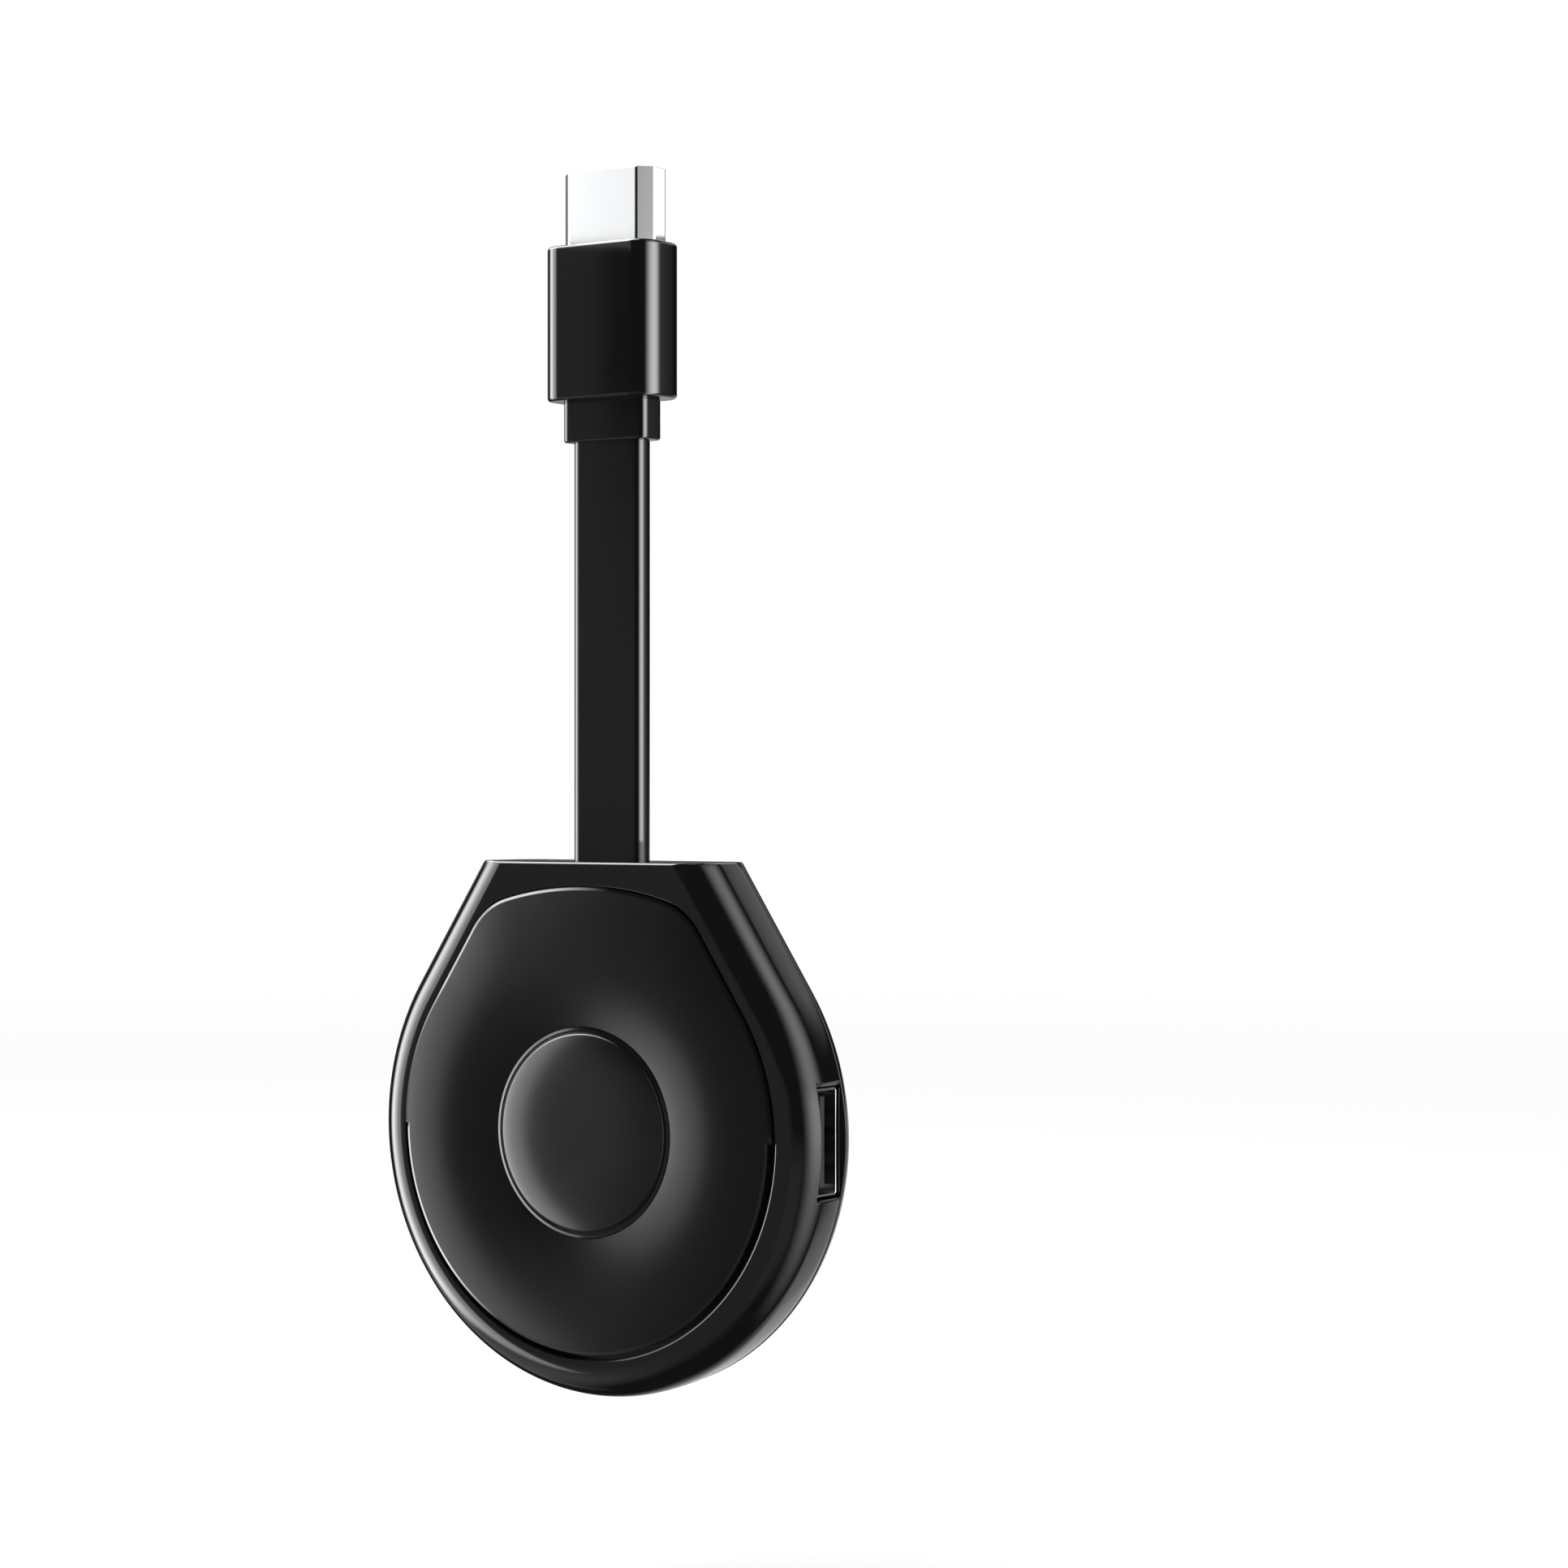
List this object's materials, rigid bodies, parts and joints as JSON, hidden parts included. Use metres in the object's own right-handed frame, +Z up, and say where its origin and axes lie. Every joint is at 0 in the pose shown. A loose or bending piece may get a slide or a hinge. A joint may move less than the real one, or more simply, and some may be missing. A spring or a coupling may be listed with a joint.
{
  "type": "streaming media stick",
  "caption": "Drop-shaped gloss black media stick hanging on a short flat cable from an HDMI plug, with a raised face panel, a centre disc and a side data port.",
  "frame": {"origin": "centre of the plug cover's top shoulder, which meets the socket that the stick is plugged into", "axes": "+Z up along the plug, in the direction of insertion; -Y towards the face panel; +X towards the side with the data port"},
  "size_m": [0.067, 0.013, 0.1547],
  "materials": {
    "plug_metal": "polished, nickel plated",
    "port_metal": "bright, nickel plated",
    "insulator": "moulded, satin",
    "contact_gold": "gold plated",
    "inner_mould": "moulded, matt",
    "gloss_black": "moulded, high gloss",
    "panel_black": "moulded, high gloss",
    "disc_black": "moulded, high gloss",
    "cable_jacket": "extruded, glossy",
    "copper": "bright",
    "header_plastic": "moulded, satin",
    "board_green": "solder mask",
    "screw_steel": "plated",
    "chip_black": "moulded, matt",
    "thermal_pad": "soft, matt",
    "sink_aluminium": "extruded",
    "coil_grey": "ferrite",
    "button_grey": "moulded, satin",
    "window_clear": "clear moulded"
  },
  "bodies": {
    "plug": {"plug_shell": "plug_metal", "plug_insulator": "insulator", "plug_contacts": "contact_gold", "plug_inner_mould": "inner_mould", "plug_cover": "gloss_black", "strain_relief": "gloss_black", "flat_cable": "cable_jacket"},
    "housing": {"cable_anchor": "cable_jacket", "cable_wires": "copper", "cable_header": "header_plastic", "front_shell": "gloss_black", "rear_shell": "gloss_black", "face_panel": "panel_black", "centre_disc": "disc_black", "main_board": "board_green", "board_screws": "screw_steel", "main_processor": "chip_black", "thermal_pad": "thermal_pad", "heat_sink": "sink_aluminium", "memory_chips": "chip_black", "flash_chip": "chip_black", "power_chip": "chip_black", "wireless_module": "screw_steel", "antenna_strip": "copper", "crystal": "screw_steel", "power_coils": "coil_grey", "capacitors": "sink_aluminium", "usb_shell": "port_metal", "usb_tongue": "insulator", "usb_contacts": "contact_gold", "inlet_shell": "port_metal", "inlet_tongue": "insulator", "inlet_contacts": "contact_gold", "reset_switch": "header_plastic", "status_light": "header_plastic", "light_guide": "window_clear"},
    "button": {"reset_button": "button_grey"}
  },
  "joints": [
    {"name": "cable_flex", "type": "hinge", "parent": "plug", "child": "housing", "pos_m": [0, 0, -0.05135], "axis": [1, 0, 0], "range_deg": [-90, 90], "stiffness_Nm_per_rad": 0.02, "deforming": ["flat_cable"]},
    {"name": "reset_press", "type": "slide", "parent": "housing", "child": "button", "axis": [0.8829, 0, 0.4695], "range_m": [0, 0.0004], "stiffness_N_per_m": 2000}
  ]
}
